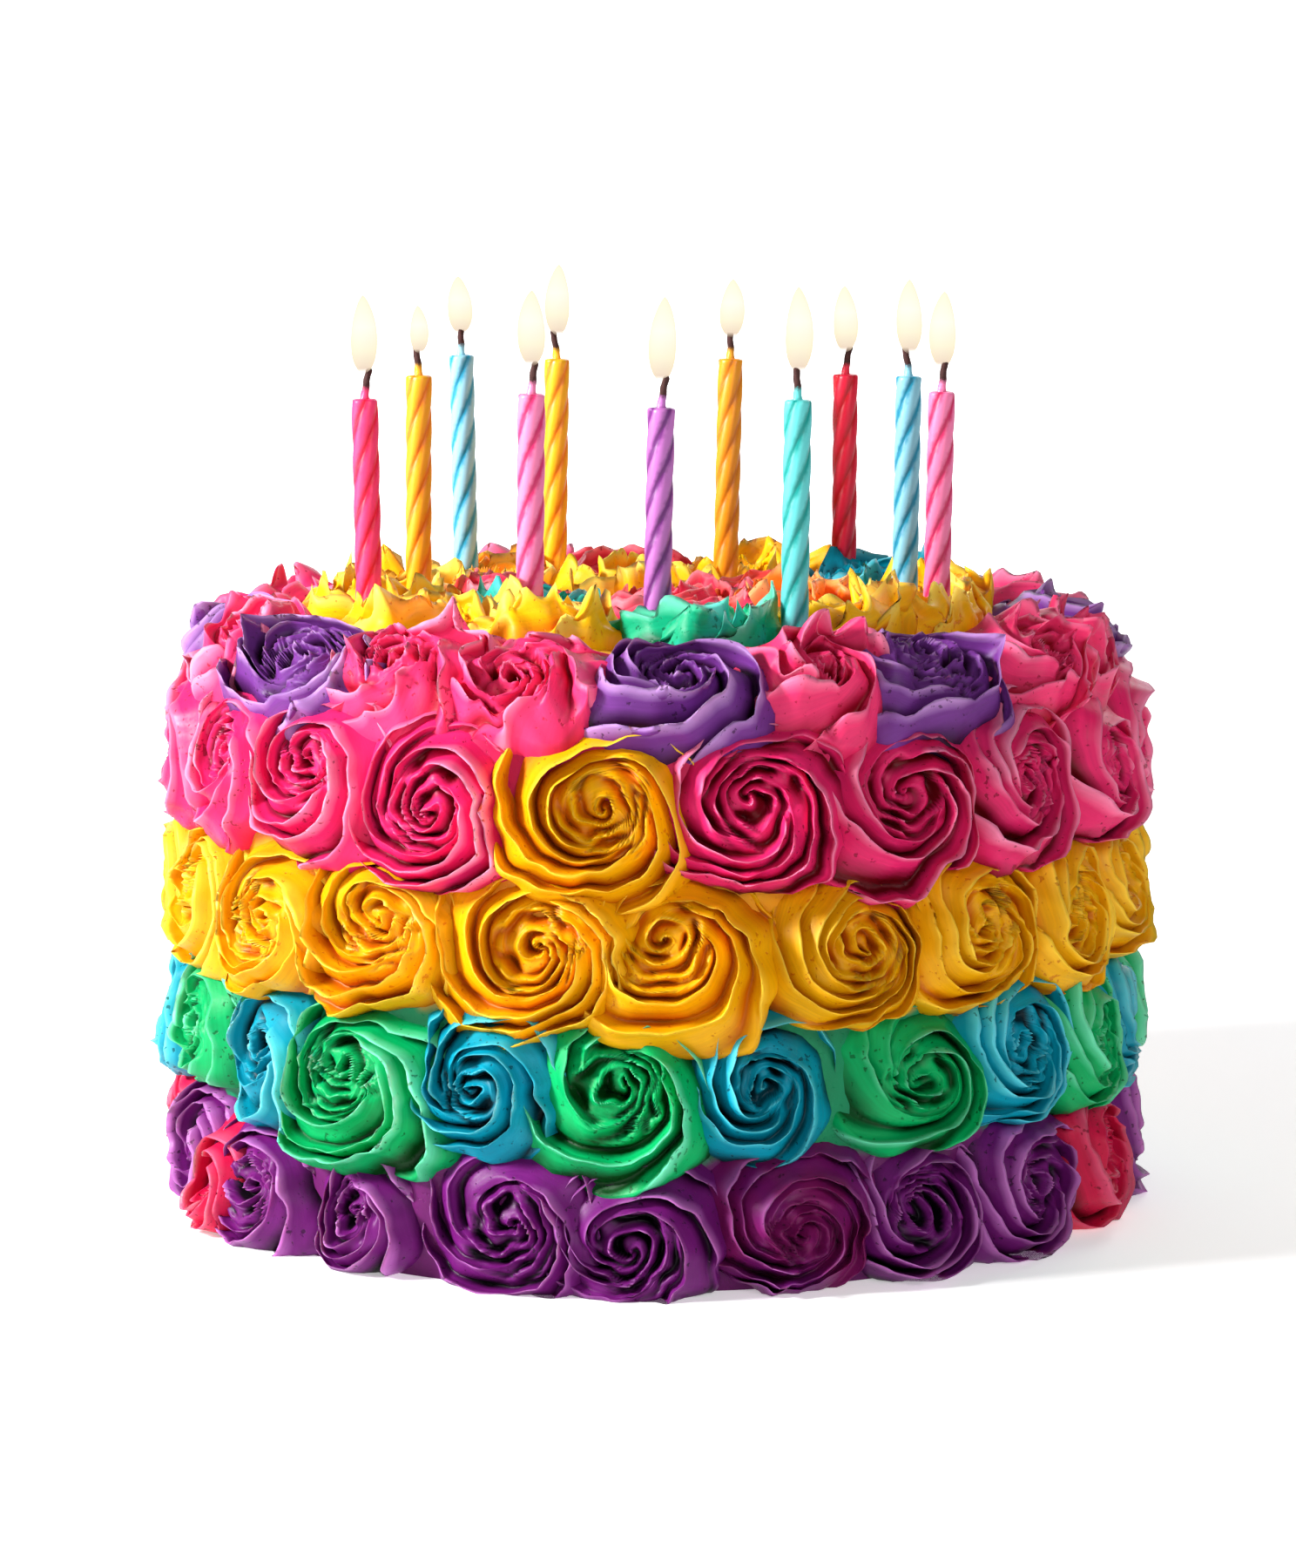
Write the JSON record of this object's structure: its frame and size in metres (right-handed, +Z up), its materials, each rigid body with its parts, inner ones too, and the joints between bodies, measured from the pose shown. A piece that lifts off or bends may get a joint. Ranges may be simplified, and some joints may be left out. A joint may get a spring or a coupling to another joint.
{
  "type": "birthday cake with candles",
  "caption": "Round iced birthday cake covered in rows of piped buttercream rosettes in purple, green, yellow and pink, with lit twisted wax candles on top.",
  "frame": {"origin": "middle of the cake's flat base, at the height of what it stands on", "axes": "+Z up through the cake; -Y towards the front; +X to the right seen from the front"},
  "size_m": [0.2156, 0.2154, 0.1868],
  "materials": {
    "base_coat": "soft, slightly glossy buttercream",
    "purple_cream": "soft, slightly glossy buttercream",
    "green_cream": "soft, slightly glossy buttercream",
    "teal_cream": "soft, slightly glossy buttercream",
    "yellow_cream": "soft, slightly glossy buttercream",
    "pink_cream": "soft, slightly glossy buttercream",
    "rose_cream": "soft, slightly glossy buttercream",
    "orange_cream": "soft, slightly glossy buttercream",
    "top_cream": "soft, slightly glossy buttercream",
    "hot_pink_wax": "dyed paraffin wax, satin",
    "yellow_wax": "dyed paraffin wax, satin",
    "blue_wax": "dyed paraffin wax, satin",
    "pink_wax": "dyed paraffin wax, satin",
    "lavender_wax": "dyed paraffin wax, satin",
    "turquoise_wax": "dyed paraffin wax, satin",
    "red_wax": "dyed paraffin wax, satin",
    "wick": "waxed cotton, charred at the end",
    "flame": "burning candle flame"
  },
  "bodies": {
    "root": {"drum": "base_coat", "bottom_row": "purple_cream", "green_teal_row": "green_cream", "yellow_row": "yellow_cream", "pink_row": "pink_cream", "border_row": "pink_cream", "top_swirls": "top_cream", "candle_hot_pink": "hot_pink_wax", "wick_hot_pink": "wick", "candle_yellow_left": "yellow_wax", "wick_yellow_left": "wick", "candle_blue_left": "blue_wax", "wick_blue_left": "wick", "candle_pink_left": "pink_wax", "wick_pink_left": "wick", "candle_yellow_back": "yellow_wax", "wick_yellow_back": "wick", "candle_lavender": "lavender_wax", "wick_lavender": "wick", "candle_gold": "yellow_wax", "wick_gold": "wick", "candle_turquoise": "turquoise_wax", "wick_turquoise": "wick", "candle_red": "red_wax", "wick_red": "wick", "candle_blue_right": "blue_wax", "wick_blue_right": "wick", "candle_pink_right": "pink_wax", "wick_pink_right": "wick"}
  },
  "joints": []
}
